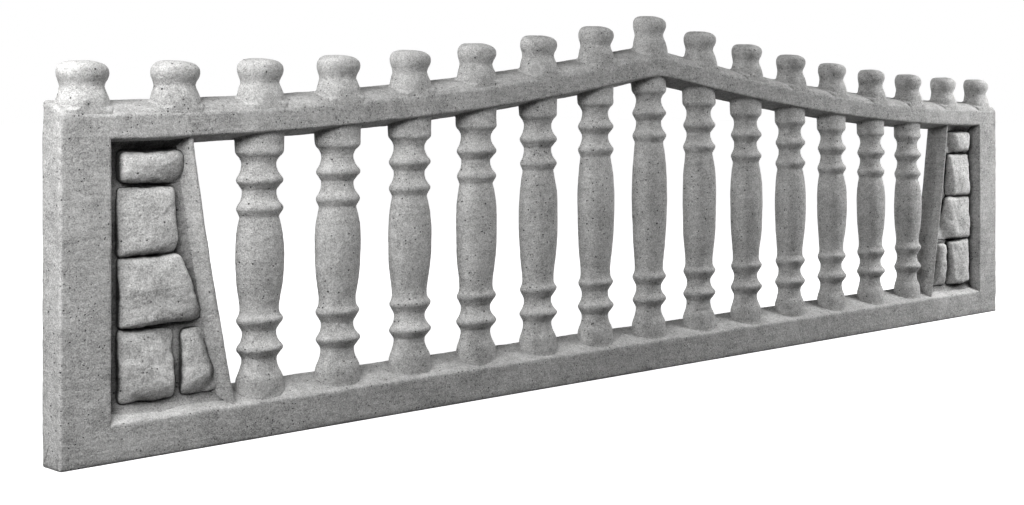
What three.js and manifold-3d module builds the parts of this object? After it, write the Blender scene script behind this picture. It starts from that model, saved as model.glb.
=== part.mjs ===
// Arched precast concrete fence panel with balusters, finials and imitation stone ends.
// Millimetres. X runs along the panel, -Y is the show face, +Y the flat back, Z is up.
// The origin is the middle of the underside.
import * as THREE from "three";
import { mergeVertices } from "three/addons/utils/BufferGeometryUtils.js";
import Module from "manifold-3d";

// Overall sizes
const panelLength = 2000;
const panelThickness = 40;
const archRise = 86; // how much higher the middle is than the ends
const peakSoftness = 18; // rounds the rail where its two arcs meet
const edgeRadius = 4; // front corners of both ends
const jointGap = 0.3; // between neighbouring cast elements
const overcut = 1; // cutting shapes run this far past what they cut
const drawnHeight = 600; // shapes to be cut back are drawn this high

// Frame
const front = -panelThickness / 2;
const back = panelThickness / 2;
const stileWidth = 63;
const stileSideStep = 6; // draft of the stile's inner side, front to infill
const bottomRailSlope = [[front, 43], [back, 65]];
const topRailUnderside = [[front, 362], [back, 352]];
const topRailCrown = [[front, 388], [front + 5, 395.5], [front + 18, 402], [back, 407]];
const railSteps = 28;

// Balusters and finials
const pitch = 120;
const balusterCount = 13;
const finialCount = 17;
const balusterAxis = 5; // the turned shapes are centred a little behind mid thickness
const balusterEndInset = 5.5; // feet and capitals stay this far behind the front of the rails
const footTop = 90; // the foot ends below this height
const capitalFoot = 330; // and the capital starts above this one, which rises with the arch
const finialAxis = 3;
const turningSegments = 12;
const balusterRadius = 33.4; // half the width

// Height above the underside, and radius as a share of balusterRadius, of the lower turnings
const lowerTurnings = [
  [30, 0.82], [46, 0.9], [62, 1], [73, 0.94], [88, 0.72], [94, 0.73], [105.5, 0.97],
  [118, 0.71], [127, 0.705], [140.5, 0.955], [154, 0.785],
];
// The same for the upper turnings, which rise with the arch
const upperTurnings = [
  [258, 0.775], [269, 0.96], [283, 0.7], [291, 0.69], [303, 0.97],
  [317, 0.705], [325.5, 0.7], [335, 0.95], [342, 1.02], [374, 1.04],
];
// Share of the belly's height, and radius share, between the two
const bellyTurnings = [[0.25, 0.93], [0.55, 1], [0.8, 0.955]];

// Height at the ends of the panel, and radius, of a finial
const finialRadius = 32.5;
const finialOutline = [
  [450.4, 0], [449, 17], [444, 27], [435.5, 32.5], [429, 30.5],
  [420, 27.5], [411, 29], [402, 32.3], [375, 29], [375, 0],
];

// Ends: thin infill with stones, edged by a curved rib
const infillFront = 0;
const ribFront = -15;
const ribFoot = { height: 53, distance: 771 }; // distances are from the middle of the panel
const ribLean = 0.219;
const ribStraightening = 1.13e-4;
const ribSteps = 8;
const ribBackStep = 13; // the side toward the balusters spreads to the back
const ribFlank = 17; // the side toward the stones
const ribTopWidth = 3.5;
const ribJoint = 0.45; // the joint along the rib's slanted flank, measured along X
const ribClearance = 100; // how far the cut beside the rib reaches toward the balusters
const endLow = 30; // ribs and infill are drawn from inside the bottom rail
const endHeight = 360; // into the top rail, then cut back to both
const stoneEdge = 5;

// Each stone: corner distances from the middle and heights, and the level of its face
const stones = [
  { face: -12, corners: [[919, 311], [832, 311], [833, 349], [919, 349]] },
  { face: -12, corners: [[919, 230], [845, 230], [847, 306], [919, 307]] },
  { face: -13, corners: [[919, 148], [806, 149], [837, 225], [919, 226]] },
  { face: -13, corners: [[919, 66], [845, 66], [846, 142], [919, 145]] },
  { face: -11, corners: [[838, 66], [787, 67], [806, 138], [838, 138]] },
];

// Reinforcement
const barRadius = 3;
const channelRadius = 3.6;
const barSides = 6;
const uprightPlane = 10;
const runnerPlane = 5; // the long bars lie in front of the uprights, welded to them
const bottomBarHeight = 22;
const topBarHeight = 379;
const longBarReach = 976;
const stileBarPlace = 966;
const infillBarPlace = 885;

const concreteGrey = "#a3a3a2";
const steelGrey = "#6f6a66";

const wasm = await Module();
wasm.setup();

// ---- solids ----

function toSolid(geometry) {
  const bare = geometry.clone();
  bare.deleteAttribute("normal");
  bare.deleteAttribute("uv");
  const merged = mergeVertices(bare, 1e-4);
  return new wasm.Manifold(new wasm.Mesh({
    numProp: 3,
    vertProperties: new Float32Array(merged.attributes.position.array),
    triVerts: new Uint32Array(merged.index.array),
  }));
}

function toGeometry(solid) {
  const mesh = solid.getMesh();
  const geometry = new THREE.BufferGeometry();
  geometry.setAttribute("position", new THREE.BufferAttribute(mesh.vertProperties, 3));
  geometry.setIndex(new THREE.BufferAttribute(mesh.triVerts, 1));
  geometry.computeVertexNormals();
  return geometry;
}

function shapeFrom(points) {
  return new THREE.Shape(points.map(([x, y]) => new THREE.Vector2(x, y)));
}

// A section drawn in Y and Z, run along X from one end to the other
function runAlongX(section, start, end, steps = 1) {
  const geometry = new THREE.ExtrudeGeometry(shapeFrom(section), {
    depth: end - start, steps, bevelEnabled: false,
  });
  // drawing x, y and depth become Y, Z and X
  geometry.applyMatrix4(new THREE.Matrix4().set(
    0, 0, 1, start,
    1, 0, 0, 0,
    0, 1, 0, 0,
    0, 0, 0, 1,
  ));
  return geometry;
}

function moveVertices(geometry, change) {
  const position = geometry.attributes.position;
  const point = new THREE.Vector3();
  for (let i = 0; i < position.count; i += 1) {
    point.fromBufferAttribute(position, i);
    change(point);
    position.setXYZ(i, point.x, point.y, point.z);
  }
  return geometry;
}

// ---- the arch ----

function lift(x, softness = 0) {
  const share = Math.max(0, 1 - Math.hypot(x, softness) / (panelLength / 2));
  return archRise * share * share;
}

function archedRun(section, reach) {
  return moveVertices(runAlongX(section, -reach, reach, railSteps), (point) => {
    point.z += lift(point.x, peakSoftness);
  });
}

// A rail's upper or lower line, moved up by the given amount and carried past both faces
function shifted(line, by) {
  const moved = line.map(([y, z]) => [y, z + by]);
  return [[front - overcut, moved[0][1]], ...moved, [back + overcut, moved[moved.length - 1][1]]];
}

// Everything the rails occupy, grown by the joint gap, for cutting their neighbours
const belowBottomRail = toSolid(runAlongX(
  [[front - overcut, -overcut], [back + overcut, -overcut], ...shifted(bottomRailSlope, jointGap).reverse()],
  -panelLength, panelLength,
));
const aboveUnderside = toSolid(archedRun(
  [...shifted(topRailUnderside, -jointGap), [back + overcut, drawnHeight], [front - overcut, drawnHeight]],
  panelLength / 2 + overcut,
));
const belowCrown = toSolid(archedRun(
  [[front - overcut, 0], [back + overcut, 0], ...shifted(topRailCrown, jointGap).reverse()],
  panelLength / 2 + overcut,
));

// Plan of the whole panel with rounded front corners
function moldEnvelope() {
  const half = panelLength / 2;
  const plan = new THREE.Shape();
  plan.moveTo(-half, back);
  plan.lineTo(-half, front + edgeRadius);
  plan.absarc(-half + edgeRadius, front + edgeRadius, edgeRadius, Math.PI, Math.PI * 1.5);
  plan.lineTo(half - edgeRadius, front);
  plan.absarc(half - edgeRadius, front + edgeRadius, edgeRadius, Math.PI * 1.5, Math.PI * 2);
  plan.lineTo(half, back);
  return toSolid(new THREE.ExtrudeGeometry(plan, {
    depth: drawnHeight, bevelEnabled: false, curveSegments: 3,
  }));
}
const envelope = moldEnvelope();

// ---- reinforcement ----

function upright(x, radius, top) {
  const height = top - bottomBarHeight + 2 * radius;
  const bar = new THREE.CylinderGeometry(radius, radius, height, barSides);
  bar.rotateX(Math.PI / 2);
  bar.translate(x, uprightPlane, bottomBarHeight - radius + height / 2);
  return toSolid(bar);
}

function runnerSection(radius, height) {
  return Array.from({ length: barSides }, (_, i) => {
    const angle = (i / barSides) * 2 * Math.PI;
    return [runnerPlane + radius * Math.cos(angle), height + radius * Math.sin(angle)];
  });
}

function matSolid(radius, reach) {
  const bars = [
    toSolid(runAlongX(runnerSection(radius, bottomBarHeight), -reach, reach)),
    toSolid(archedRun(runnerSection(radius, topBarHeight), reach)),
  ];
  for (const side of [-1, 1]) {
    for (const place of [stileBarPlace, infillBarPlace]) {
      bars.push(upright(side * place, radius, topBarHeight + lift(place, peakSoftness)));
    }
  }
  for (let i = 0; i < balusterCount; i += 1) {
    const x = balusterPlace(i);
    bars.push(upright(x, radius, topBarHeight + lift(x, peakSoftness)));
  }
  return bars.reduce((whole, bar) => whole.add(bar));
}

function balusterPlace(i) {
  return (i - (balusterCount - 1) / 2) * pitch;
}

const channels = matSolid(channelRadius, longBarReach + overcut);

// ---- turned shapes ----

// A lathe outline about a vertical axis, pressed to reach from the front, given by height, to the back
function turned(outline, radius, x, axis, frontAt) {
  const points = outline.map(([height, across]) => new THREE.Vector2(across, height));
  const lathe = new THREE.LatheGeometry(points, turningSegments);
  lathe.rotateX(Math.PI / 2);
  return toSolid(moveVertices(lathe, (point) => {
    const reach = point.y < 0 ? axis - frontAt(point.z) : back - axis;
    point.y = axis + (point.y * reach) / radius;
    point.x += x;
  }));
}

function balusterOutline(rise) {
  const bellyFoot = lowerTurnings[lowerTurnings.length - 1][0];
  const bellyHeight = upperTurnings[0][0] + rise - bellyFoot;
  const turnings = [
    ...lowerTurnings,
    ...bellyTurnings.map(([share, ratio]) => [bellyFoot + share * bellyHeight, ratio]),
    ...upperTurnings.map(([height, ratio]) => [height + rise, ratio]),
  ];
  const skin = turnings.map(([height, ratio]) => [height, ratio * balusterRadius]);
  return [[skin[0][0], 0], ...skin, [skin[skin.length - 1][0], 0]];
}

function balusterSolid(x) {
  const isEnd = (height) => height < footTop || height > capitalFoot + lift(x);
  const frontAt = (height) => (isEnd(height) ? front + balusterEndInset : front);
  return turned(balusterOutline(lift(x)), balusterRadius, x, balusterAxis, frontAt)
    .subtract(belowBottomRail).subtract(aboveUnderside).subtract(channels);
}

function finialSolid(x) {
  const outline = finialOutline.map(([height, radius]) => [height + lift(x), radius]).reverse();
  return turned(outline, finialRadius, x, finialAxis, () => front).subtract(belowCrown);
}

// ---- frame ----

function bottomRailSolid() {
  const section = [[front, 0], [back, 0], ...[...bottomRailSlope].reverse()];
  const half = panelLength / 2;
  return toSolid(runAlongX(section, -half, half)).intersect(envelope).subtract(channels);
}

function topRailSolid() {
  const section = [...topRailUnderside, ...[...topRailCrown].reverse()];
  return toSolid(archedRun(section, panelLength / 2)).intersect(envelope).subtract(channels);
}

function stileSolid(side) {
  const outer = panelLength / 2;
  const inner = outer - stileWidth;
  const plan = [
    [side * outer, back], [side * outer, front], [side * inner, front],
    [side * (inner - stileSideStep), infillFront], [side * (inner - stileSideStep), back],
  ];
  const block = new THREE.ExtrudeGeometry(shapeFrom(plan), {
    depth: endLow + endHeight, bevelEnabled: false,
  });
  return toSolid(block).intersect(envelope)
    .subtract(belowBottomRail).subtract(aboveUnderside).subtract(channels);
}

// ---- ends ----

function ribDistance(height) {
  const above = height - ribFoot.height;
  return ribFoot.distance + ribLean * above - ribStraightening * above * above;
}

function bendToRib(geometry, side) {
  return moveVertices(geometry, (point) => {
    point.x += side * ribDistance(point.z);
  });
}

// A plan given as distances outward from the rib's edge, carried up along the rib's curve
function alongRib(plan, side) {
  const placed = shapeFrom(plan.map(([out, y]) => [side * out, y]));
  const block = new THREE.ExtrudeGeometry(placed, {
    depth: endHeight, steps: ribSteps, bevelEnabled: false,
  });
  block.translate(0, 0, endLow);
  return toSolid(bendToRib(block, side));
}

function ribSolid(side) {
  return alongRib([
    [-ribBackStep, back], [0, ribFront], [ribTopWidth, ribFront],
    [ribFlank, infillFront], [ribFlank, back],
  ], side).subtract(belowBottomRail).subtract(aboveUnderside);
}

// All that lies on the rib and on its side toward the balusters, grown by the joint gap
function ribAndBeyond(side) {
  const flankTop = ribTopWidth + ribJoint;
  const flankFoot = ribFlank + ribJoint;
  return alongRib([
    [-ribClearance, back + overcut], [-ribClearance, front - overcut], [flankTop, front - overcut],
    [flankTop, ribFront], [flankFoot, infillFront], [flankFoot, back + overcut],
  ], side);
}

function infillSolid(side) {
  const outer = panelLength / 2 - stileWidth - stileSideStep - jointGap;
  const inner = ribFoot.distance - ribBackStep;
  const slab = new THREE.BoxGeometry(outer - inner, back - infillFront, endHeight);
  slab.translate(side * (outer + inner) / 2, (back + infillFront) / 2, endLow + endHeight / 2);
  return toSolid(slab).subtract(ribAndBeyond(side))
    .subtract(belowBottomRail).subtract(aboveUnderside).subtract(channels);
}

function stoneSolid({ face, corners }, side) {
  const middle = corners.reduce((sum, [d, z]) => [sum[0] + d / 4, sum[1] + z / 4], [0, 0]);
  const inset = corners.map(([d, z]) => [
    side * (d - stoneEdge * Math.sign(d - middle[0])), z - stoneEdge * Math.sign(z - middle[1]),
  ]);
  const block = new THREE.ExtrudeGeometry(shapeFrom(inset), {
    depth: infillFront - face, bevelSize: stoneEdge, bevelThickness: stoneEdge, bevelSegments: 2,
  });
  // the drawing's depth runs toward the show face
  block.rotateX(Math.PI / 2);
  block.translate(0, infillFront + stoneEdge, 0);
  const backing = new THREE.BoxGeometry(panelLength, panelThickness, drawnHeight);
  backing.translate(0, infillFront - jointGap + panelThickness / 2, drawnHeight / 2);
  return toSolid(block).subtract(toSolid(backing)).subtract(ribAndBeyond(side));
}

// ---- assembly ----

const concrete = new THREE.MeshStandardMaterial({ color: concreteGrey, roughness: 0.92, metalness: 0 });
const steel = new THREE.MeshStandardMaterial({ color: steelGrey, roughness: 0.55, metalness: 0.9 });
const panel = new THREE.Group();

function place(name, solid, material = concrete) {
  const mesh = new THREE.Mesh(toGeometry(solid), material.clone());
  mesh.name = name;
  panel.add(mesh);
}

const numbered = (name, i) => `${name}_${String(i + 1).padStart(2, "0")}`;

place("bottom_rail", bottomRailSolid());
place("top_rail", topRailSolid());
for (let i = 0; i < balusterCount; i += 1) {
  place(numbered("baluster", i), balusterSolid(balusterPlace(i)));
}
for (let i = 0; i < finialCount; i += 1) {
  place(numbered("finial", i), finialSolid((i - (finialCount - 1) / 2) * pitch));
}
for (const [end, side] of [["left", -1], ["right", 1]]) {
  place(`${end}_stile`, stileSolid(side));
  place(`${end}_infill`, infillSolid(side));
  place(`${end}_rib`, ribSolid(side));
  stones.forEach((stone, i) => place(`${end}_stone_${i + 1}`, stoneSolid(stone, side)));
}
place("reinforcement_mat", matSolid(barRadius, longBarReach), steel);

export default panel;
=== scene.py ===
import math

import bmesh
import bpy
import numpy as np
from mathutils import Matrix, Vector


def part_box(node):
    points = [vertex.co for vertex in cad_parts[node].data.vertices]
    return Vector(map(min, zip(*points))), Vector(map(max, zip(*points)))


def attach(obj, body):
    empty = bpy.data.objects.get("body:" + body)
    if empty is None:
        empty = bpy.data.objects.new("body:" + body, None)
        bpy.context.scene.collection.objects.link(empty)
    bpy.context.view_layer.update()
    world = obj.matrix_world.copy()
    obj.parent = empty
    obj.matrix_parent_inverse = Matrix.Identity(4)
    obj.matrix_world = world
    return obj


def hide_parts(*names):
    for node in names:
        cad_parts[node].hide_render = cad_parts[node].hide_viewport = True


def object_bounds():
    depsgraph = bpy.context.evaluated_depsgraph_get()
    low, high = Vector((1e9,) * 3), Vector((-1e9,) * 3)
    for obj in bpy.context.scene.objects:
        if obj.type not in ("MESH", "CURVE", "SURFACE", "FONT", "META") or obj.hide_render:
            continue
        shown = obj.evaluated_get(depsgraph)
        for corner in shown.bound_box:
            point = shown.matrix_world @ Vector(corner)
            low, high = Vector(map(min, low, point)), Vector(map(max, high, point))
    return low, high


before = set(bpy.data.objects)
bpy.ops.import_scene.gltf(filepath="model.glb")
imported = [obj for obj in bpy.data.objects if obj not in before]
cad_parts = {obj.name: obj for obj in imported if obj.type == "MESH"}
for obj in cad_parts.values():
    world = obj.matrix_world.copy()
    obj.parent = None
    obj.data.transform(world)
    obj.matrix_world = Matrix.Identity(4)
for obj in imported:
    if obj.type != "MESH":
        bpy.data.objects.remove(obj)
cadLow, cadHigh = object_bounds()
print("frame loaded,", len(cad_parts), "cast pieces")

mm = 0.001

# Arched concrete fence panel: X along the panel, -Y the show face, +Y the flat back
panel = {
    "halfLength": cadHigh.x,
    "front": cadLow.y,
    "back": cadHigh.y,
    "archRise": 86 * mm,        # the middle stands this much higher than the ends
    "peakSoftness": 18 * mm,    # rounds the rails where the two arcs meet
    "backInset": 0.3 * mm,      # turned pieces stop this far inside the back
    "flush": 0.05 * mm,         # how far a piece stands proud of a flush one that it overlaps
}


def archLift(x, softness=0.0):
    share = max(0.0, 1 - math.hypot(x, softness) / panel["halfLength"])
    return panel["archRise"] * share * share


def node(tree, kind, inputs=(), **settings):
    made = tree.nodes.new(kind)
    made.location.x = 190 * len(tree.nodes)
    for name, value in settings.items():
        setattr(made, name, value)
    for key, value in inputs.items() if isinstance(inputs, dict) else enumerate(inputs):
        if isinstance(value, bpy.types.NodeSocket):
            tree.links.new(value, made.inputs[key])
        else:
            made.inputs[key].default_value = value
    return made


def calc(tree, operation, *values, clamp=False):
    return node(tree, "ShaderNodeMath", values, operation=operation, use_clamp=clamp).outputs[0]


def total(tree, *values):
    whole = values[0]
    for value in values[1:]:
        whole = calc(tree, "ADD", whole, value)
    return whole


# A value run from one range to another, held at its ends
def ranged(tree, value, fromLow, fromHigh, toLow=0.0, toHigh=1.0):
    return node(tree, "ShaderNodeMapRange", [value, fromLow, fromHigh, toLow, toHigh]).outputs[0]


def noiseOf(tree, vector, size, detail=2.0, roughness=0.5, distortion=0.0):
    made = node(tree, "ShaderNodeTexNoise", {
        "Vector": vector, "Scale": 1 / size, "Detail": detail,
        "Roughness": roughness, "Distortion": distortion,
    })
    return made.outputs[0]


# How high the arch stands at a place along the panel
def archLiftNodes(tree, x, size):
    squares = total(tree, calc(tree, "MULTIPLY", x, x), calc(tree, "POWER", size["Peak Softness"], 2.0))
    reach = calc(tree, "SQRT", squares)
    share = calc(tree, "SUBTRACT", 1.0, calc(tree, "DIVIDE", reach, size["Half Length"]), clamp=True)
    return calc(tree, "MULTIPLY", size["Arch Rise"], calc(tree, "MULTIPLY", share, share))


skin = {
    "waveSize": 75 * mm, "waveDepth": 0.7 * mm,     # the mould's own unevenness
    "lumpSize": 20 * mm, "lumpDepth": 0.42 * mm,
    "grainSize": 5 * mm, "grainDepth": 0.16 * mm,
    "relief": 1.5,              # how strongly most pieces show the waves and lumps
    "floorGuard": 4 * mm,       # the underside stays on the ground
}


# The uneven surface of cast concrete: the same at one place on every piece, so joins don't show
def skinTree():
    tree = bpy.data.node_groups.new("cast skin", "GeometryNodeTree")
    face = tree.interface
    face.new_socket("Geometry", in_out="INPUT", socket_type="NodeSocketGeometry")
    face.new_socket("Relief", in_out="INPUT", socket_type="NodeSocketFloat").default_value = 1.0
    face.new_socket("Geometry", in_out="OUTPUT", socket_type="NodeSocketGeometry")
    given = node(tree, "NodeGroupInput").outputs
    place = node(tree, "GeometryNodeInputPosition").outputs[0]
    layers = []
    for layer, detail in (("wave", 1.0), ("lump", 2.0), ("grain", 1.0)):
        swing = calc(tree, "SUBTRACT", noiseOf(tree, place, skin[layer + "Size"], detail), 0.5)
        layers.append(calc(tree, "MULTIPLY", swing, 2 * skin[layer + "Depth"]))
    height = node(tree, "ShaderNodeSeparateXYZ", [place]).outputs["Z"]
    guard = ranged(tree, height, 0.0, skin["floorGuard"])
    wave, lump, grain = layers
    uneven = calc(tree, "MULTIPLY_ADD", calc(tree, "ADD", wave, lump), given["Relief"], grain)
    depth = calc(tree, "MULTIPLY", uneven, guard)
    normal = node(tree, "GeometryNodeInputNormal").outputs[0]
    push = node(tree, "ShaderNodeVectorMath", {"Vector": normal, "Scale": depth}, operation="SCALE")
    moved = node(tree, "GeometryNodeSetPosition", {"Geometry": given["Geometry"], "Offset": push.outputs[0]})
    smooth = node(tree, "GeometryNodeSetShadeSmooth", {"Geometry": moved.outputs[0]})
    node(tree, "NodeGroupOutput", [smooth.outputs[0]])
    return tree


castSkin = skinTree()


# A tree that shapes its geometry by the given function, then gives it the cast skin
def castingTree(name, sizes, shape):
    tree = bpy.data.node_groups.new(name, "GeometryNodeTree")
    face = tree.interface
    face.new_socket("Geometry", in_out="INPUT", socket_type="NodeSocketGeometry")
    for label, value in dict(sizes, Relief=skin["relief"]).items():
        face.new_socket(label, in_out="INPUT", socket_type="NodeSocketFloat").default_value = value
    face.new_socket("Material", in_out="INPUT", socket_type="NodeSocketMaterial")
    face.new_socket("Geometry", in_out="OUTPUT", socket_type="NodeSocketGeometry")
    given = node(tree, "NodeGroupInput").outputs
    shaped = shape(tree, given["Geometry"], given)
    skinned = node(tree, "GeometryNodeGroup", node_tree=castSkin)
    tree.links.new(shaped, skinned.inputs["Geometry"])
    tree.links.new(given["Relief"], skinned.inputs["Relief"])
    real = node(tree, "GeometryNodeRealizeInstances", [skinned.outputs[0]])
    finished = node(tree, "GeometryNodeSetMaterial",
                    {"Geometry": real.outputs[0], "Material": given["Material"]})
    node(tree, "NodeGroupOutput", [finished.outputs[0]])
    return tree


def plainShape(tree, geometry, size):
    return geometry


# Moves every point of a geometry by the given nodes, one for each axis used
def shifted(tree, geometry, **axes):
    offset = node(tree, "ShaderNodeCombineXYZ", axes).outputs[0]
    return node(tree, "GeometryNodeSetPosition", {"Geometry": geometry, "Offset": offset}).outputs[0]


# Lifts a straight rail into the arch
def archShape(tree, geometry, size):
    place = node(tree, "GeometryNodeInputPosition").outputs[0]
    x = node(tree, "ShaderNodeSeparateXYZ", [place]).outputs["X"]
    return shifted(tree, geometry, Z=archLiftNodes(tree, x, size))


# Leans a piece outward as it rises, less and less
def leanShape(tree, geometry, size):
    place = node(tree, "GeometryNodeInputPosition").outputs[0]
    z = node(tree, "ShaderNodeSeparateXYZ", [place]).outputs["Z"]
    above = calc(tree, "SUBTRACT", z, size["Foot Height"])
    curve = calc(tree, "MULTIPLY", calc(tree, "MULTIPLY", above, above), size["Straightening"])
    lean = calc(tree, "SUBTRACT", calc(tree, "MULTIPLY", above, size["Lean"]), curve)
    out = calc(tree, "ADD", size["Foot Distance"], lean)
    return shifted(tree, geometry, X=calc(tree, "MULTIPLY", out, size["Side"]))


# A height or radius as a smooth curve of the way up the outline, with corners where asked
def outlineCurve(tree, along, ways, values, corners):
    low, high = min(values), max(values)
    made = node(tree, "ShaderNodeFloatCurve", {"Value": along})
    curve = made.mapping.curves[0]
    shares = [(value - low) / (high - low) for value in values]
    curve.points[0].location = (ways[0], shares[0])
    curve.points[1].location = (ways[-1], shares[-1])
    for way, share in list(zip(ways, shares))[1:-1]:
        curve.points.new(way, share)
    made.mapping.update()
    for point, corner in zip(curve.points, corners):
        point.handle_type = "VECTOR" if corner else "AUTO"
    made.mapping.update()
    return calc(tree, "MULTIPLY_ADD", made.outputs[0], high - low, low)


# For the points of a turned outline: the way along it, the height, the radius share, and the corner
def outlineRun(outline, radius):
    run = [0.0]
    for (lowZ, lowR, _), (highZ, highR, _) in zip(outline, outline[1:]):
        run.append(run[-1] + math.hypot(highZ - lowZ, (highR - lowR) * radius))
    ways = [length / run[-1] for length in run]
    return (ways, *zip(*outline))


# The radius share of a turned piece, and half its depth. Toward the back its turnings fade, and
# toward the front its foot and head blend to a shorter reach.
def turnedDepth(tree, deep, nominal, share, piece, size):
    behind = calc(tree, "MAXIMUM", deep, 0.0)
    fade = calc(tree, "SUBTRACT", 1.0, calc(tree, "MULTIPLY", behind, size["Back Fade"]))
    faded = calc(tree, "POWER", share, fade)
    below = ranged(tree, calc(tree, "SUBTRACT", size["Foot Top"], nominal), 0.0, piece["blend"])
    above = ranged(tree, calc(tree, "SUBTRACT", nominal, size["Head Foot"]), 0.0, piece["blend"])
    shorter = calc(tree, "SUBTRACT", size["Foot Reach"], size["Front Reach"])
    frontReach = calc(tree, "MULTIPLY_ADD",
                      calc(tree, "MAXIMUM", below, above), shorter, size["Front Reach"])
    reach = node(tree, "ShaderNodeMix", {
        0: calc(tree, "GREATER_THAN", deep, 0.0), 2: frontReach, 3: size["Back Reach"],
    }, data_type="FLOAT").outputs[0]
    return faded, calc(tree, "MULTIPLY", faded, reach)


# How far a turned piece flares at a height, where it nears the surfaces under and over it
def seatFlare(tree, x, y, z, size):
    fromFront = calc(tree, "SUBTRACT", y, panel["front"])
    arch = archLiftNodes(tree, x, size)
    floorZ = calc(tree, "MULTIPLY_ADD", fromFront, size["Seat Slope"], size["Seat Height"])
    floorZ = calc(tree, "ADD", floorZ, calc(tree, "MULTIPLY", size["Seat Arch"], arch))
    roofZ = calc(tree, "MULTIPLY_ADD", fromFront, size["Head Slope"], size["Head Height"])
    roofZ = calc(tree, "ADD", roofZ, arch)
    flares = []
    for gap in (calc(tree, "SUBTRACT", z, floorZ), calc(tree, "SUBTRACT", roofZ, z)):
        near = calc(tree, "SUBTRACT", 1.0, calc(tree, "DIVIDE", gap, size["Fillet"]), clamp=True)
        flares.append(calc(tree, "MULTIPLY", calc(tree, "MULTIPLY", near, near), size["Fillet"]))
    return total(tree, *flares)


# A casting turned to an outline of (height, radius share, corner), pressed flatter to the front and
# back, and flared where it meets the sloping surfaces under and over it
def turnedShape(outline, piece):
    ways, heights, radii, corners = outlineRun(outline, piece["radius"])

    # the lathe takes the place of the piece's own geometry
    def shape(tree, geometry, size):
        lathe = node(tree, "GeometryNodeMeshCylinder", {
            "Vertices": piece["sides"], "Side Segments": piece["rings"], "Radius": 1.0, "Depth": 1.0,
        }, fill_type="NGON").outputs[0]
        place = node(tree, "GeometryNodeInputPosition").outputs[0]
        across, deep, up = node(tree, "ShaderNodeSeparateXYZ", [place]).outputs
        along = calc(tree, "ADD", up, 0.5)
        nominal = outlineCurve(tree, along, ways, heights, corners)
        share = outlineCurve(tree, along, ways, radii, corners)
        stretch = ranged(tree, nominal, size["Stretch From"], size["Stretch To"])
        z = calc(tree, "ADD", nominal, calc(tree, "MULTIPLY", size["Rise"], stretch))
        faded, halfDepth = turnedDepth(tree, deep, nominal, share, piece, size)
        y = calc(tree, "MULTIPLY_ADD", deep, halfDepth, size["Axis"])
        halfWidth = calc(tree, "MULTIPLY", faded, size["Radius"])
        x = calc(tree, "MULTIPLY_ADD", across, halfWidth, size["Place"])
        flare = seatFlare(tree, x, y, z, size)
        x = calc(tree, "MULTIPLY_ADD", across, flare, x)
        y = calc(tree, "MULTIPLY_ADD", deep, flare, y)
        y = calc(tree, "MAXIMUM", y, panel["front"] + piece["frontInset"])
        y = calc(tree, "MINIMUM", y, panel["back"] - panel["backInset"])
        point = node(tree, "ShaderNodeCombineXYZ", [x, y, z]).outputs[0]
        return node(tree, "GeometryNodeSetPosition", {"Geometry": lathe, "Position": point}).outputs[0]
    return shape


# Runs a tree on a piece and leaves the result as its plain mesh
def runTree(piece, tree, material, sizes):
    step = piece.modifiers.new(tree.name, "NODES")
    step.node_group = tree
    values = dict(sizes, Material=material)
    for item in tree.interface.items_tree:
        if item.item_type == "SOCKET" and item.in_out == "INPUT" and item.name in values:
            step[item.identifier] = values[item.name]
    graph = bpy.context.evaluated_depsgraph_get()
    made = bpy.data.meshes.new_from_object(piece.evaluated_get(graph))
    made.name = piece.name
    piece.modifiers.clear()
    piece.data = made


def newPiece(name, vertices=(), faces=()):
    mesh = bpy.data.meshes.new(name)
    mesh.from_pydata([tuple(vertex) for vertex in vertices], [], faces)
    if faces:
        shell = bmesh.new()
        shell.from_mesh(mesh)
        bmesh.ops.recalc_face_normals(shell, faces=shell.faces)
        shell.to_mesh(mesh)
        shell.free()
    piece = bpy.data.objects.new(name, mesh)
    bpy.context.scene.collection.objects.link(piece)
    return piece


def declare(piece, replaced):
    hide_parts(replaced)
    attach(piece, "root")


concreteLook = {
    # size, detail, roughness and distortion of each noise
    "noises": {"mottle": (95 * mm, 4.0, 0.62, 0.6), "cloud": (28 * mm, 3.0, 0.6, 0.3),
               "speckle": (6.5 * mm, 2.0, 0.6, 0.4), "grain": (1.7 * mm, 2.0, 0.7, 0.0)},
    "sandSize": 1.2 * mm,
    "streakLength": 30 * mm, "streakWidth": 3.5 * mm, "streakTurn": 24,     # degrees
    "pitSpacing": 6 * mm, "pitCluster": 38 * mm, "clusterThin": 0.3, "clusterFull": 0.6,
    "pitSmallest": 0.1, "pitGrowth": 0.16, "pitRim": 0.55,      # shares of the spacing and the hole
    "creviceOpen": 0.94, "creviceShut": 0.5,    # openness at which the painted crevice shade starts and is full
    "edgeStart": 0.53, "edgeFull": 0.62,        # pointiness where wear starts and is full
    "topLightOn": 0.3, "topLightFull": 0.8,     # how far a face looks up where the painted light on upward faces begins and is strongest
    # the trowelled back: how deep it reaches in, how far a face looks back, and the trowel's drag
    "backBand": 1.5 * mm, "backFull": 0.5 * mm, "backTurnLow": 0.75, "backTurnHigh": 0.95,
    "dragLength": 90 * mm, "dragWidth": 8 * mm,
    "darkest": 0.04, "pitShade": 0.85, "greenCast": 0.995, "blueCast": 0.985,
    "roughness": 0.9, "roughSwing": 0.12,
    # how much each layer changes the brightness, and how high it stands in the bump
    "brightness": {"mottle": 0.7, "cloud": 0.75, "speckle": 0.7, "grain": 1.4, "sand": 0.5,
                   "streaks": 0.6, "edge": 0.12, "paintedTopLight": 0.22, "drag": 0.35},
    "relief": {"speckle": 1.1, "grain": 0.55, "sand": 0.1, "streaks": 0.1, "swell": 0.35,
               "pit": -1.3, "drag": 1.6},
    "bumpHeight": 0.9 * mm,
}
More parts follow.
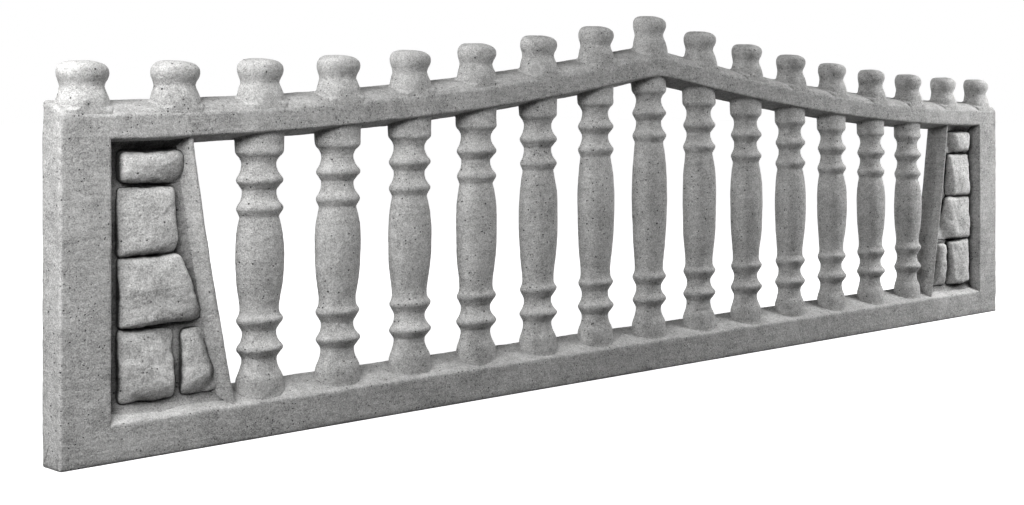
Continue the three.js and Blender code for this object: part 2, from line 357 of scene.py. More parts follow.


# Colour, roughness and height of bare cast concrete, with painted shade in its crevices and air holes and
# painted light on faces that look up
def concreteGroup():
    tree = bpy.data.node_groups.new("cast concrete surface", "ShaderNodeTree")
    face = tree.interface
    for label, value in (("Tone", 0.36), ("Mottle", 1.0), ("Grain", 1.0), ("Pits", 0.5),
                         ("Streaks", 1.0), ("Crevice Shade", 1.0), ("Crevice Reach", 14 * mm), ("Wear", 1.0)):
        face.new_socket(label, in_out="INPUT", socket_type="NodeSocketFloat").default_value = value
    face.new_socket("Color", in_out="OUTPUT", socket_type="NodeSocketColor")
    face.new_socket("Roughness", in_out="OUTPUT", socket_type="NodeSocketFloat")
    face.new_socket("Height", in_out="OUTPUT", socket_type="NodeSocketFloat")
    given = node(tree, "NodeGroupInput").outputs
    look = concreteLook
    place = node(tree, "ShaderNodeTexCoord").outputs["Object"]

    def swing(value):
        return calc(tree, "SUBTRACT", value, 0.5)

    def scaled(value, *factors):
        for factor in factors:
            value = calc(tree, "MULTIPLY", value, factor)
        return value

    def stretchedNoise(scale, turn=0.0, **settings):
        mapped = node(tree, "ShaderNodeMapping", {
            "Vector": place, "Rotation": (0.0, turn, 0.0), "Scale": scale,
        }).outputs[0]
        noise = node(tree, "ShaderNodeTexNoise", {"Vector": mapped, "Scale": 1.0, **settings})
        return swing(noise.outputs[0])

    noises = {layer: swing(noiseOf(tree, place, *values)) for layer, values in look["noises"].items()}
    sandCells = node(tree, "ShaderNodeTexVoronoi", {"Vector": place, "Scale": 1 / look["sandSize"]})
    sand = swing(node(tree, "ShaderNodeSeparateColor", [sandCells.outputs["Color"]]).outputs[0])
    alongStreak, acrossStreak = 1 / look["streakLength"], 1 / look["streakWidth"]
    streaks = stretchedNoise((alongStreak, alongStreak, acrossStreak), math.radians(look["streakTurn"]),
                             Detail=3.0, Roughness=0.6)

    # air holes: some cells of a scatter, gathered in clusters
    cells = node(tree, "ShaderNodeTexVoronoi", {"Vector": place, "Scale": 1 / look["pitSpacing"]})
    chance, sizePick, _ = node(tree, "ShaderNodeSeparateColor", [cells.outputs["Color"]]).outputs[:3]
    crowd = ranged(tree, noiseOf(tree, place, look["pitCluster"], 2.0),
                   look["clusterThin"], look["clusterFull"])
    picked = calc(tree, "LESS_THAN", chance, scaled(crowd, given["Pits"]))
    radius = calc(tree, "MULTIPLY_ADD", calc(tree, "POWER", sizePick, 2.0),
                  look["pitGrowth"], look["pitSmallest"])
    near = calc(tree, "DIVIDE", cells.outputs["Distance"], radius)
    pit = scaled(ranged(tree, near, 1.0, look["pitRim"]), picked)

    geometry = node(tree, "ShaderNodeNewGeometry").outputs
    # painted shade: the colour darkens where ambient occlusion finds the surface hemmed in, standing in for
    # the shade in crevices
    openness = node(tree, "ShaderNodeAmbientOcclusion", {"Distance": given["Crevice Reach"]},
                    samples=8, only_local=False).outputs["AO"]
    creviceShadeMask = scaled(ranged(tree, openness, look["creviceOpen"], look["creviceShut"]), given["Crevice Shade"])
    edge = scaled(ranged(tree, geometry["Pointiness"], look["edgeStart"], look["edgeFull"]), given["Wear"])

    depth = node(tree, "ShaderNodeSeparateXYZ", [place]).outputs["Y"]
    facing = node(tree, "ShaderNodeSeparateXYZ", [geometry["Normal"]]).outputs
    # painted light: faces that look up are made lighter, standing in for light falling on them from above
    paintedTopLight = ranged(tree, facing["Z"], look["topLightOn"], look["topLightFull"])
    onBack = ranged(tree, depth, panel["back"] - look["backBand"], panel["back"] - look["backFull"])
    trowelled = scaled(ranged(tree, facing["Y"], look["backTurnLow"], look["backTurnHigh"]), onBack)
    drag = stretchedNoise((1 / look["dragLength"], 1.0, 1 / look["dragWidth"]),
                          Detail=4.0, Roughness=0.65, Distortion=1.2)

    layers = {
        "mottle": scaled(noises["mottle"], given["Mottle"]),
        "cloud": scaled(noises["cloud"], given["Mottle"]), "swell": noises["cloud"],
        "speckle": scaled(noises["speckle"], given["Grain"]),
        "grain": scaled(noises["grain"], given["Grain"]), "sand": scaled(sand, given["Grain"]),
        "streaks": scaled(streaks, given["Streaks"]),
        "edge": edge, "paintedTopLight": paintedTopLight, "drag": scaled(drag, trowelled), "pit": pit,
    }

    def mixed(shares):
        return total(tree, *[scaled(layers[layer], share) for layer, share in shares.items()])

    bright = calc(tree, "ADD", 1.0, mixed(look["brightness"]))
    # painted crevice shade, never darker than the darkest share
    creviceShade = calc(tree, "MAXIMUM", calc(tree, "SUBTRACT", 1.0, creviceShadeMask), look["darkest"])
    # painted shade inside the air holes: the holes are real, their darkening stands in for the shade within
    # them
    holes = calc(tree, "SUBTRACT", 1.0, scaled(pit, look["pitShade"]))
    tone = scaled(given["Tone"], bright, creviceShade, holes)
    color = node(tree, "ShaderNodeCombineColor",
                 [tone, scaled(tone, look["greenCast"]), scaled(tone, look["blueCast"])]).outputs[0]
    rough = calc(tree, "MULTIPLY_ADD", noises["cloud"], look["roughSwing"], look["roughness"], clamp=True)
    node(tree, "NodeGroupOutput", [color, rough, mixed(look["relief"])])
    return tree


concreteSurface = concreteGroup()


def concreteMaterial(name, values, shine=0.15):
    material = bpy.data.materials.new(name)
    material.use_nodes = True
    tree = material.node_tree
    tree.nodes.clear()
    surface = node(tree, "ShaderNodeGroup", node_tree=concreteSurface)
    for label, value in values.items():
        surface.inputs[label].default_value = value
    bump = node(tree, "ShaderNodeBump",
                {"Distance": concreteLook["bumpHeight"], "Height": surface.outputs["Height"]})
    shader = node(tree, "ShaderNodeBsdfPrincipled", {
        "Base Color": surface.outputs["Color"], "Roughness": surface.outputs["Roughness"],
        "Normal": bump.outputs[0], "Specular IOR Level": shine,
    })
    node(tree, "ShaderNodeOutputMaterial", [shader.outputs[0]])
    return material


frameConcrete = concreteMaterial("frame concrete", {
    "Tone": 0.46, "Pits": 0.8, "Crevice Shade": 0.35, "Wear": 0.2,
})
turnedConcrete = concreteMaterial("turned concrete", {
    "Tone": 0.52, "Mottle": 0.9, "Pits": 1.2, "Streaks": 0.6, "Crevice Shade": 0.5, "Crevice Reach": 9 * mm,
})
infillConcrete = concreteMaterial("infill concrete", {
    "Tone": 0.47, "Pits": 0.3, "Crevice Shade": 1.15, "Crevice Reach": 22 * mm,
}, shine=0.02)
stoneConcrete = concreteMaterial("imitation stone concrete", {
    "Tone": 0.61, "Pits": 0.4, "Streaks": 0.8, "Crevice Shade": 0.95, "Crevice Reach": 20 * mm, "Wear": 1.5,
})


steelLook = {
    "rustSize": 12 * mm, "rustStart": 0.45, "rustFull": 0.6, "scaleSize": 1.2 * mm, "scaleHeight": 0.2 * mm,
    "bare": (0.13, 0.125, 0.12, 1), "rusted": (0.19, 0.07, 0.03, 1),
    # for bare steel, and what rust adds
    "metallic": 0.95, "rustMetallic": -0.8, "roughness": 0.45, "rustRoughness": 0.35,
}


def steelMaterial():
    look = steelLook
    material = bpy.data.materials.new("reinforcement steel")
    material.use_nodes = True
    tree = material.node_tree
    tree.nodes.clear()
    place = node(tree, "ShaderNodeTexCoord").outputs["Object"]
    patches = noiseOf(tree, place, look["rustSize"], 4.0, 0.65)
    rust = ranged(tree, patches, look["rustStart"], look["rustFull"])
    scale = noiseOf(tree, place, look["scaleSize"])
    color = node(tree, "ShaderNodeMix", {0: rust, 6: look["bare"], 7: look["rusted"]}, data_type="RGBA")
    bump = node(tree, "ShaderNodeBump", {"Distance": look["scaleHeight"], "Height": scale})
    shader = node(tree, "ShaderNodeBsdfPrincipled", {
        "Base Color": color.outputs[2],
        "Metallic": calc(tree, "MULTIPLY_ADD", rust, look["rustMetallic"], look["metallic"]),
        "Roughness": calc(tree, "MULTIPLY_ADD", rust, look["rustRoughness"], look["roughness"]),
        "Normal": bump.outputs[0],
    })
    node(tree, "ShaderNodeOutputMaterial", [shader.outputs[0]])
    return material


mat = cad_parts["reinforcement_mat"]
mat.data.materials.clear()
mat.data.materials.append(steelMaterial())
print("materials made")


outlining = {
    "cornerPoints": 7, "cornerShare": 0.48,     # a corner takes at most this share of a side
    "capRings": (0.15, 0.35, 0.55, 0.75, 0.9), "edgeRings": 5,
}


def evenlySpaced(path, step):
    loop = np.vstack([path, path[:1]])
    run = np.concatenate([[0], np.cumsum(np.linalg.norm(np.diff(loop, axis=0), axis=1))])
    at = np.linspace(0, run[-1], int(round(run[-1] / step)), endpoint=False)
    return np.column_stack([np.interp(at, run, loop[:, axis]) for axis in (0, 1)])


# A closed outline with each corner turned on its own radius. Corners are (across, up, radius), in mm.
def roundedOutline(corners, step):
    points = [np.array(corner[:2], float) * mm for corner in corners]
    path = []
    for i, corner in enumerate(points):
        toBefore = points[i - 1] - corner
        toAfter = points[(i + 1) % len(points)] - corner
        lengths = np.linalg.norm(toBefore), np.linalg.norm(toAfter)
        toBefore, toAfter = toBefore / lengths[0], toAfter / lengths[1]
        angle = math.acos(np.clip(toBefore @ toAfter, -1, 1))
        reach = min(corners[i][2] * mm / math.tan(angle / 2), outlining["cornerShare"] * min(lengths))
        start, end = corner + toBefore * reach, corner + toAfter * reach
        for share in np.linspace(0, 1, outlining["cornerPoints"]):
            path.append((1 - share) ** 2 * start + 2 * share * (1 - share) * corner + share ** 2 * end)
    return evenlySpaced(np.array(path), step)


def outwardNormals(outline):
    along = np.roll(outline, -1, axis=0) - np.roll(outline, 1, axis=0)
    along /= np.linalg.norm(along, axis=1)[:, None]
    normals = np.column_stack([along[:, 1], -along[:, 0]])
    area = np.sum(outline[:, 0] * np.roll(outline[:, 1], -1) - outline[:, 1] * np.roll(outline[:, 0], -1))
    return normals if area > 0 else -normals


# Joins closed rings of points into one body, with a fan at each end
def ringedPiece(name, rings):
    count = len(rings[0])
    vertices = [point for ring in rings for point in ring]
    faces = []
    for low in range(0, (len(rings) - 1) * count, count):
        for i in range(count):
            after = (i + 1) % count
            faces.append((low + i, low + after, low + count + after, low + count + i))
    for ring, start in ((rings[0], 0), (rings[-1], (len(rings) - 1) * count)):
        vertices.append(np.mean(ring, axis=0))
        hub = len(vertices) - 1
        faces += [(start + (i + 1) % count, start + i, hub) for i in range(count)]
    return newPiece(name, vertices, faces)


# A bar with the given section, its ends rounded. Alongside X the section is (y, z), upright (x, y).
def barPiece(name, section, low, high, spacing, endRadius, upright=False):
    normals = outwardNormals(section)
    centre = section.mean(axis=0)
    stations = []
    for sign, end in ((1, low), (-1, high)):
        capRings = [(end, endRadius, share) for share in outlining["capRings"]]
        turn = [(end + sign * endRadius * (1 - math.cos(a)), endRadius * (1 - math.sin(a)), 1.0)
                for a in np.linspace(0, math.pi / 2, outlining["edgeRings"])]
        stations.append(capRings + turn)
    count = int((high - low - 2 * endRadius) / spacing)
    middle = [(w, 0.0, 1.0) for w in np.linspace(low + endRadius, high - endRadius, count)[1:-1]]
    rings = []
    for w, inset, share in stations[0] + middle + stations[1][::-1]:
        ring = centre + (section - normals * inset - centre) * share
        column = np.full(len(ring), w)
        rings.append(np.column_stack([ring, column] if upright else [column, ring]))
    return ringedPiece(name, rings)


front, back = panel["front"] / mm, panel["back"] / mm

rails = {
    "pointStep": 1.9 * mm, "stationStep": 3.2 * mm,
    "endRadius": {"bottom_rail": 3.5 * mm, "top_rail": 6 * mm},
    # section corners from the front foot round to the back: y, z, radius
    "bottomSection": [(front, 0, 2), (back, 0, 1.5), (back, 65, 2), (front, 43, 5)],
    "topSection": [(front, 362, 3), (front, 388, 5), (front + 5, 395.5, 8), (front + 18, 402, 12),
                   (back, 407, 2.5), (back, 352, 2.5)],
    # plan corners from the outer front: distance from the middle, y, radius
    "stilePlan": [(1000, front, 4), (1000, back, 1.5), (931, back, 1), (931, 0, 0.5), (937, front, 3)],
    "stileStep": 2.4 * mm, "stileTop": 386 * mm, "stileFoot": 0.3 * mm, "uprightEndRadius": 1 * mm,
    # inside the rails a stile shrinks a little, so that its ends don't show
    "stileShrink": 0.6 * mm, "shrinkReach": 14 * mm, "shrinkBelow": 37 * mm, "shrinkAbove": 367 * mm,
}

archSizes = {
    "Half Length": panel["halfLength"], "Arch Rise": panel["archRise"],
    "Peak Softness": panel["peakSoftness"],
}
archedTree = castingTree("arched rail", archSizes, archShape)
plainTree = castingTree("plain casting", {}, plainShape)


def buildRails():
    half = panel["halfLength"]
    for name, section, rise in (("bottom_rail", rails["bottomSection"], 0.0),
                                ("top_rail", rails["topSection"], panel["archRise"])):
        outline = roundedOutline(section, rails["pointStep"])
        piece = barPiece(name + "_cast", outline, -half, half,
                         rails["stationStep"], rails["endRadius"][name])
        runTree(piece, archedTree, frameConcrete, dict(archSizes, **{"Arch Rise": rise}))
        declare(piece, name)


def buildStiles():
    for end, side in (("left", -1), ("right", 1)):
        plan = roundedOutline(rails["stilePlan"], rails["stileStep"])
        plan += outwardNormals(plan) * panel["flush"]
        plan[:, 0] *= side
        piece = barPiece(end + "_stile_cast", plan, rails["stileFoot"], rails["stileTop"],
                         rails["stationStep"], rails["uprightEndRadius"], upright=True)
        middle = plan.mean(axis=0)
        for vertex in piece.data.vertices:
            place = vertex.co
            inside = max(rails["shrinkBelow"] - place.z, place.z - rails["shrinkAbove"])
            inward = min(max(inside / rails["shrinkReach"], 0), 1) * rails["stileShrink"]
            place.x -= math.copysign(inward, place.x - middle[0])
            place.y -= math.copysign(inward, place.y - middle[1])
        runTree(piece, plainTree, frameConcrete, {})
        declare(piece, end + "_stile")


buildRails()
buildStiles()
print("frame cast")


# A turned ring going up: a corner under it, a nearly straight return to its tip, and a cove above.
# Each pair is how far along and how far out a point is.
ringReturn = [(0.5, 0.56), (0.88, 0.96)]
ringCove = [(0.12, 0.12), (0.4, 0.58), (0.72, 0.9)]


def ringPoints(corner, tip, neck):
    def between(low, high, shares):
        return [(low[0] + run * (high[0] - low[0]), low[1] + rise * (high[1] - low[1]), False)
                for run, rise in shares]
    return [(*corner, True), *between(corner, tip, ringReturn), (*tip, True),
            *between(tip, neck, ringCove), (*neck, False)]


baluster = {
    "radius": 33.4 * mm, "axis": 5 * mm, "frontReach": 24.7 * mm, "sides": 72, "rings": 190,
    "blend": 20 * mm,
    # foot and capital stand farther back than the turnings between these heights
    "footReach": 19.5 * mm, "footTop": 98, "headFoot": 326,
    "bellyFoot": 154, "bellyHead": 258,     # heights where the stretch starts and ends, in mm
    "backFade": 0.45, "fillet": 1.5 * mm, "frontInset": 0.3 * mm,
    # heights in mm where the arch adds nothing, and radii as shares of the belly's
    "foot": [(36, 0.9), (46, 0.965), (56, 1.01), (65, 1.0), (72, 0.94), (79, 0.82), (86, 0.735), (90, 0.712)],
    "lowerRings": [((94, 0.72), (105.5, 0.975), (122.5, 0.685)), ((127, 0.7), (140.4, 0.955), (152, 0.79))],
    "belly": [(0.08, 0.825), (0.2, 0.9), (0.35, 0.965), (0.5, 0.995), (0.6, 1.0), (0.75, 0.975),
              (0.88, 0.9), (0.96, 0.825)],
    "upperRings": [((258, 0.78), (268.8, 0.965), (287.5, 0.68)), ((291, 0.69), (303, 0.97), (322, 0.685))],
    "capital": [(325.5, 0.7, True), (330.5, 0.81, False), (334.5, 0.95, False), (339, 1.02, False),
                (352, 1.04, False), (376, 1.05, False)],
}

finial = {
    "radius": 32.5 * mm, "axis": 3 * mm, "frontReach": 23 * mm, "sides": 72, "rings": 70,
    "blend": 20 * mm,
    "footReach": 23 * mm, "footTop": 0, "headFoot": 500,       # no shorter reach at either end
    "backFade": 0.8, "fillet": 4 * mm, "frontInset": 0.9 * mm,
    # height, radius share and whether the outline has a corner there
    "outline": [(376, 1.05, False), (390, 1.05, False), (399, 1.03, False), (407, 0.97, False),
                (414, 0.88, False), (418.5, 0.81, False), (421.5, 0.78, True), (425.5, 0.82, False),
                (430.5, 0.91, False), (436, 0.965, False), (440, 0.955, False), (444.5, 0.86, False),
                (447.8, 0.68, False), (449.8, 0.4, False), (450.6, 0.04, False)],
}

seats = {
    "bottomRail": {"Seat Height": 43 * mm, "Seat Slope": 0.55, "Seat Arch": 0.0},
    "underside": {"Head Height": 362 * mm, "Head Slope": -0.25},
    "crown": {"Seat Height": 394 * mm, "Seat Slope": 0.33, "Seat Arch": 1.0},
    "openAbove": {"Head Height": 2.0, "Head Slope": 0.0},
}


def balusterOutline():
    height = baluster["bellyHead"] - baluster["bellyFoot"]
    points = [(z, share, False) for z, share in baluster["foot"]]
    for ring in baluster["lowerRings"]:
        points += ringPoints(*ring)
    points += [(baluster["bellyFoot"] + up * height, share, False) for up, share in baluster["belly"]]
    for ring in baluster["upperRings"]:
        points += ringPoints(*ring)
    return [(z * mm, share, corner) for z, share, corner in points + baluster["capital"]]


def turnedSizes(piece, seat, head):
    return {
        "Place": 0.0, "Rise": 0.0, "Radius": piece["radius"], "Axis": piece["axis"],
        "Front Reach": piece["frontReach"], "Back Reach": panel["back"] - piece["axis"],
        "Foot Reach": piece["footReach"], "Foot Top": piece["footTop"] * mm,
        "Head Foot": piece["headFoot"] * mm,
        "Back Fade": piece["backFade"], "Fillet": piece["fillet"],
        **archSizes, **seat, **head,
    }


def buildTurned(kind, tree, sizes):
    nodes = sorted(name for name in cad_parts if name.startswith(kind + "_"))
    for name in nodes:
        low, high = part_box(name)
        place = (low.x + high.x) / 2
        piece = newPiece(name + "_cast")
        runTree(piece, tree, turnedConcrete, dict(sizes, Place=place, Rise=archLift(place)))
        declare(piece, name)
    return len(nodes)


balusterSizes = dict(turnedSizes(baluster, seats["bottomRail"], seats["underside"]), **{
    "Stretch From": baluster["bellyFoot"] * mm, "Stretch To": baluster["bellyHead"] * mm,
})
balusterTree = castingTree("turned baluster", balusterSizes, turnedShape(balusterOutline(), baluster))
print("balusters turned:", buildTurned("baluster", balusterTree, balusterSizes))

finialOutline = [(z * mm, share, corner) for z, share, corner in finial["outline"]]
finialSizes = dict(turnedSizes(finial, seats["crown"], seats["openAbove"]), **{
    "Stretch From": 0.0, "Stretch To": 1 * mm,      # the whole finial rises with the arch
})
finialTree = castingTree("turned finial", finialSizes, turnedShape(finialOutline, finial))
print("finials turned:", buildTurned("finial", finialTree, finialSizes))


rib = {
    "footHeight": 53 * mm, "footDistance": 771 * mm, "lean": 0.219, "straightening": 0.113,
    "low": 40 * mm, "high": 372 * mm, "pointStep": 1.6 * mm, "stationStep": 2.6 * mm,
    # plan corners from the edge toward the balusters: outward, y, radius
    "plan": [(-13, back, 5), (-12.5, 7, 12), (-4, -3, 20), (-0.6, -15.5, 1.2), (3.2, -15.5, 1.4),
             (9, -6, 14), (20, 0.5, 1), (20, back, 1)],
}

infill = {
    "front": 0.0, "step": 2.6 * mm, "outer": 942 * mm, "ribOverlap": 9 * mm,
    "low": 40 * mm, "high": 372 * mm,
    # a soft hollow where the plate meets the rails and the rib: start, reach and height
    "railMeeting": 50.7 * mm, "railReach": 14 * mm, "railRise": 6 * mm,
    "headMeeting": 358.5 * mm, "headReach": 12 * mm,
    "ribMeeting": 14.5 * mm, "ribReach": 12 * mm, "ribRise": 2.6 * mm,
    "past": 1.3,        # the hollow runs on this far under the rail and the rib
    "relief": 2.0,
}


def ribDistance(z):
    above = z - rib["footHeight"]
    return rib["footDistance"] + rib["lean"] * above - rib["straightening"] * above * above


leanSizes = {
    "Side": 1.0, "Foot Height": rib["footHeight"], "Foot Distance": rib["footDistance"],
    "Lean": rib["lean"], "Straightening": rib["straightening"],
}
leaningTree = castingTree("leaning rib", leanSizes, leanShape)


def buildRib(end, side):
    plan = roundedOutline(rib["plan"], rib["pointStep"])
    plan[:, 0] *= side
    piece = barPiece(end + "_rib_cast", plan, rib["low"], rib["high"],
                     rib["stationStep"], rails["uprightEndRadius"], upright=True)
    runTree(piece, leaningTree, frameConcrete, dict(leanSizes, Side=float(side)))
    declare(piece, end + "_rib")


# How far the plate's face stands out where it meets the rails and the rib
def infillRise(x, z):
    nearRail = 1 - (z - infill["railMeeting"]) / infill["railReach"]
    nearHead = 1 - (infill["headMeeting"] - z) / infill["headReach"]
    nearRib = 1 - (x - ribDistance(z) - infill["ribMeeting"]) / infill["ribReach"]
    return max(infill["railRise"] * np.clip(max(nearRail, nearHead), 0, infill["past"]) ** 2,
               infill["ribRise"] * np.clip(nearRib, 0, infill["past"]) ** 2)


# A thin plate between rib and stile, one fine sheet in front and one behind
def buildInfill(end, side):
    rows = int((infill["high"] - infill["low"]) / infill["step"])
    columns = int((infill["outer"] - rib["footDistance"]) / infill["step"])
    vertices, faces = [], []
    for isBack in (False, True):
        for z in np.linspace(infill["low"], infill["high"], rows):
            for x in np.linspace(ribDistance(z) + infill["ribOverlap"], infill["outer"], columns):
                y = panel["back"] + panel["flush"] if isBack else infill["front"] - infillRise(x, z)
                vertices.append((side * x, y, z))
    sheet = rows * columns
    for start in (0, sheet):
        for row in range(rows - 1):
            for column in range(columns - 1):
                corner = start + row * columns + column
                faces.append((corner, corner + 1, corner + columns + 1, corner + columns))
    # the rim: along the foot, up the outside, back along the head and down the inside
    rim = ([column for column in range(columns)]
           + [row * columns + columns - 1 for row in range(1, rows)]
           + [(rows - 1) * columns + column for column in range(columns - 2, -1, -1)]
           + [row * columns for row in range(rows - 2, 0, -1)])
    for here, after in zip(rim, rim[1:] + rim[:1]):
        faces.append((here, after, sheet + after, sheet + here))
    piece = newPiece(end + "_infill_cast", vertices, faces)
    runTree(piece, plainTree, infillConcrete, {"Relief": infill["relief"]})
    declare(piece, end + "_infill")


stoneShape = {
    "edge": 8 * mm,         # how far in from the outline the face starts to turn down
    "wall": 0.3,            # share of the height that stands as a wall
    "bulge": 1.6,           # how wide the swell of the face is
    "cutSoftness": 1.5 * mm, "lowest": 2.5 * mm,
    "sunk": 2 * mm, "pointStep": 2.2 * mm, "relief": 6.5,
    "rings": [0.06, 0.14, 0.23, 0.32, 0.41, 0.5, 0.58, 0.66, 0.73, 0.79, 0.84, 0.88, 0.915, 0.945,
              0.97, 0.987, 1.0],
}

# Corners are distance from the middle, height and radius. Cuts are planes struck off the face of
# the left and the right stone: a point on the cut's line, the direction it falls away, in degrees
# from outward, and its slope.
stones = [
    {"face": 12.5, "crown": 3.5, "corners": [(919, 311, 10), (829, 309, 19), (832, 350, 17), (919, 349, 7)],
     "leftCuts": [(852, 330, 180, 0.16), (900, 318, 250, 0.3)],
     "rightCuts": [(866, 330, 180, 0.6), (900, 318, 250, 0.3)]},
    {"face": 12, "crown": 1.2, "corners": [(919, 229, 6), (843, 228, 8), (845, 307.5, 8), (919, 308, 6)],
     "leftCuts": [(880, 268, 55, 0.12), (878, 238, 262, 0.4), (890, 262, 0, 0.16), (862, 262, 195, 0.14)],
     "rightCuts": [(861, 230, 191, 0.85), (885, 262, 60, 0.07)]},
    {"face": 13, "crown": 2.5, "corners": [(919, 147, 6), (804, 148, 12), (824, 196, 40), (839, 228, 15),
                                           (919, 226.5, 6)],
     "leftCuts": [(826, 155, 168, 0.3), (888, 200, 60, 0.14), (850, 160, 255, 0.3), (898, 190, 0, 0.2)],
     "rightCuts": [(850, 190, 200, 0.35), (895, 200, 70, 0.12)]},
    {"face": 13, "crown": 1.5, "corners": [(919, 62, 7), (844, 62, 8), (845, 143, 8), (919, 146, 6)],
     "leftCuts": [(884, 104, 140, 0.24), (890, 100, 20, 0.2), (880, 78, 270, 0.45), (880, 128, 100, 0.12)],
     "rightCuts": [(861, 68, 191, 0.8), (890, 100, 20, 0.12)]},
    {"face": 11.5, "crown": 2.0, "corners": [(836.5, 62, 6), (782, 63, 11), (786, 88, 14), (801, 112, 30),
                                             (805, 140, 10), (836.5, 140, 7)],
     "leftCuts": [(806, 92, 158, 0.45), (815, 118, 110, 0.2), (812, 82, 250, 0.5), (826, 100, 0, 0.25)],
     "rightCuts": [(812, 92, 165, 0.8), (812, 84, 250, 0.3)]},
]


# Distance of points from a closed outline
def edgeDistance(points, outline):
    start, run = outline, np.roll(outline, -1, axis=0) - outline
    toPoint = points[:, None] - start[None]
    share = np.clip((toPoint * run).sum(2) / (run * run).sum(1), 0, 1)
    return np.linalg.norm(toPoint - share[..., None] * run, axis=2).min(1)


# How far the face of a stone stands out at points inside its outline
def stoneHeights(points, outline, stone, cuts):
    inside = edgeDistance(points, outline)
    middle = (outline.max(axis=0) + outline.min(axis=0)) / 2
    halfSize = (outline.max(axis=0) - outline.min(axis=0)) / 2
    bulge = 1 - np.clip((((points - middle) / halfSize) ** 2).sum(1) / stoneShape["bulge"], 0, 1)
    height = stone["face"] * mm + stone["crown"] * mm * (bulge - 0.5)
    for across, up, direction, slope in cuts:
        turn = math.radians(direction)
        past = (points - np.array([across, up]) * mm) @ np.array([math.cos(turn), math.sin(turn)])
        height -= slope * stoneShape["cutSoftness"] * np.logaddexp(0, past / stoneShape["cutSoftness"])
    height = np.maximum(height, stoneShape["lowest"])
    near = 1 - np.clip(inside / stoneShape["edge"], 0, 1)
    return height * (stoneShape["wall"] + (1 - stoneShape["wall"]) * np.sqrt(1 - near ** 2))


def buildStone(end, side, number, stone):
    outline = roundedOutline(stone["corners"], stoneShape["pointStep"])
    centre = outline.mean(axis=0)
    rings = []
    for share in stoneShape["rings"]:
        ring = centre + (outline - centre) * share
        proud = stoneHeights(ring, outline, stone, stone[end + "Cuts"])
        rings.append(np.column_stack([side * ring[:, 0], infill["front"] - proud, ring[:, 1]]))
    for depth in (0.0, stoneShape["sunk"]):
        rings.append(np.column_stack([side * outline[:, 0], np.full(len(outline), depth), outline[:, 1]]))
    name = f"{end}_stone_{number}"
    piece = ringedPiece(name + "_cast", rings)
    runTree(piece, plainTree, stoneConcrete, {"Relief": stoneShape["relief"]})
    declare(piece, name)


for end, side in (("left", -1), ("right", 1)):
    buildRib(end, side)
    buildInfill(end, side)
    for number, stone in enumerate(stones, 1):
        buildStone(end, side, number, stone)
print("ends filled")


studio = {
    # the floor glows more and more away from the panel
    "floorSize": 60.0, "floorTone": 0.8, "floorGlow": 0.75, "glowStart": 1.0, "glowEnd": 3.0,
    # the room is a little brighter above these heights of its dome
    "roomLow": 0.02, "roomHigh": 0.03, "domeLow": -0.25, "domeHigh": 0.5,
    "lens": 56.953, "sensor": 36.0, "shiftY": -0.14375,
    "cameraPlace": (-1.8744, -1.6287, 0.4004), "cameraTurn": -44.12,
}


def buildFloor():
    half = studio["floorSize"] / 2
    corners = [(-half, -half, 0), (half, -half, 0), (half, half, 0), (-half, half, 0)]
    floor = newPiece("studio_floor", corners, [(0, 1, 2, 3)])
    material = bpy.data.materials.new("pale floor")
    material.use_nodes = True
    tree = material.node_tree
    shader = tree.nodes["Principled BSDF"]
    place = node(tree, "ShaderNodeTexCoord").outputs["Object"]
    away = node(tree, "ShaderNodeVectorMath", [place], operation="LENGTH").outputs["Value"]
    glow = ranged(tree, away, studio["glowStart"], studio["glowEnd"], studio["floorGlow"], 1.0)
    tree.links.new(glow, shader.inputs["Emission Strength"])
    shader.inputs["Base Color"].default_value = (*[studio["floorTone"]] * 3, 1)
    shader.inputs["Roughness"].default_value = 0.9
    shader.inputs["Emission Color"].default_value = (1, 1, 1, 1)
    floor.data.materials.append(material)
    floor.visible_diffuse = False       # the dark side of the room lights the undersides instead


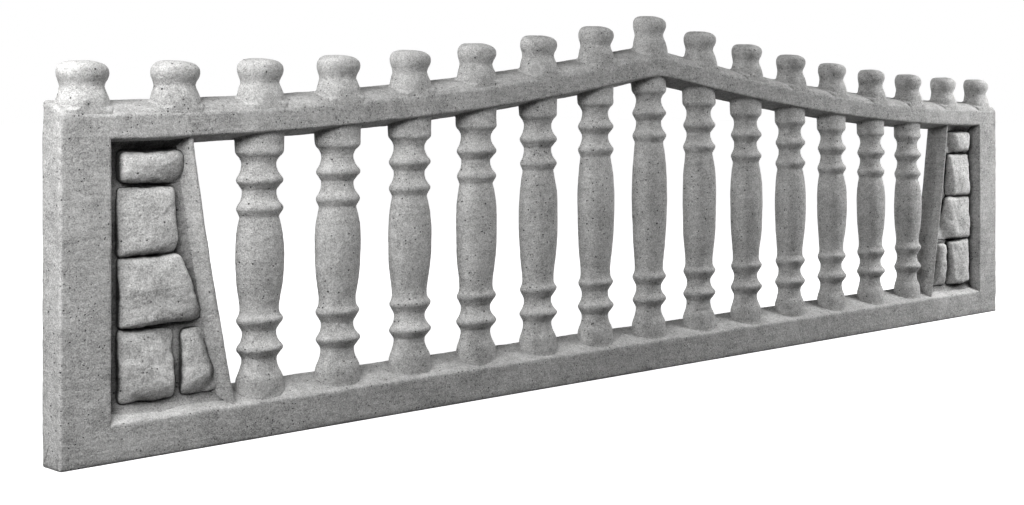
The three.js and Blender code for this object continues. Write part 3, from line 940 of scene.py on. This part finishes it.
def buildCamera():
    data = bpy.data.cameras.new("camera")
    data.lens, data.sensor_width, data.shift_y = studio["lens"], studio["sensor"], studio["shiftY"]
    data.clip_end = 2 * studio["floorSize"]
    camera = bpy.data.objects.new("camera", data)
    camera.location = studio["cameraPlace"]
    camera.rotation_euler = (math.pi / 2, 0, math.radians(studio["cameraTurn"]))
    bpy.context.scene.collection.objects.link(camera)
    bpy.context.scene.camera = camera


# Square soft lights: place, the point they face, size, power in watts, spread in degrees
lights = {
    "left_end": ((-2.4, 0.1, 0.7), (-1.0, 0.0, 0.25), 0.4, 3.5, 120),
    "left_near": ((-1.7, -0.45, 1.0), (-0.7, 0.0, 0.3), 0.5, 11, 180),
    "left_front": ((-1.6, -1.0, 1.2), (-0.3, 0.0, 0.3), 0.6, 13, 180),
    "right_high": ((1.9, -0.7, 1.6), (0.7, 0.0, 0.3), 0.6, 11, 180),
    "right_near": ((1.8, -0.65, 0.7), (0.7, 0.0, 0.3), 0.5, 18, 180),
    "behind": ((0.0, 2.6, 1.2), (0.0, 0.0, 0.3), 1.6, 26, 180),
}


def buildLights():
    for name, (place, target, size, power, spread) in lights.items():
        data = bpy.data.lights.new(name, "AREA")
        data.shape, data.size, data.energy = "SQUARE", size, power
        data.spread = math.radians(spread)
        light = bpy.data.objects.new(name, data)
        light.location = place
        light.rotation_euler = (Vector(target) - Vector(place)).to_track_quat("-Z", "Y").to_euler()
        bpy.context.scene.collection.objects.link(light)


def buildWorld():
    world = bpy.data.worlds.new("white room")
    bpy.context.scene.world = world
    world.use_nodes = True
    tree = world.node_tree
    tree.nodes.clear()
    path = node(tree, "ShaderNodeLightPath").outputs["Is Camera Ray"]
    toward = node(tree, "ShaderNodeTexCoord").outputs["Generated"]
    up = node(tree, "ShaderNodeSeparateXYZ", [toward]).outputs["Z"]
    glow = ranged(tree, up, studio["domeLow"], studio["domeHigh"], studio["roomLow"], studio["roomHigh"])
    room = node(tree, "ShaderNodeBackground", {"Color": (1, 1, 1, 1), "Strength": glow})
    seen = node(tree, "ShaderNodeBackground", {"Color": (1, 1, 1, 1), "Strength": 1.0})
    both = node(tree, "ShaderNodeMixShader", [path, room.outputs[0], seen.outputs[0]])
    node(tree, "ShaderNodeOutputWorld", [both.outputs[0]])


buildFloor()
buildCamera()
buildWorld()
buildLights()
bpy.context.scene.view_settings.view_transform = "Standard"
print("studio lit")
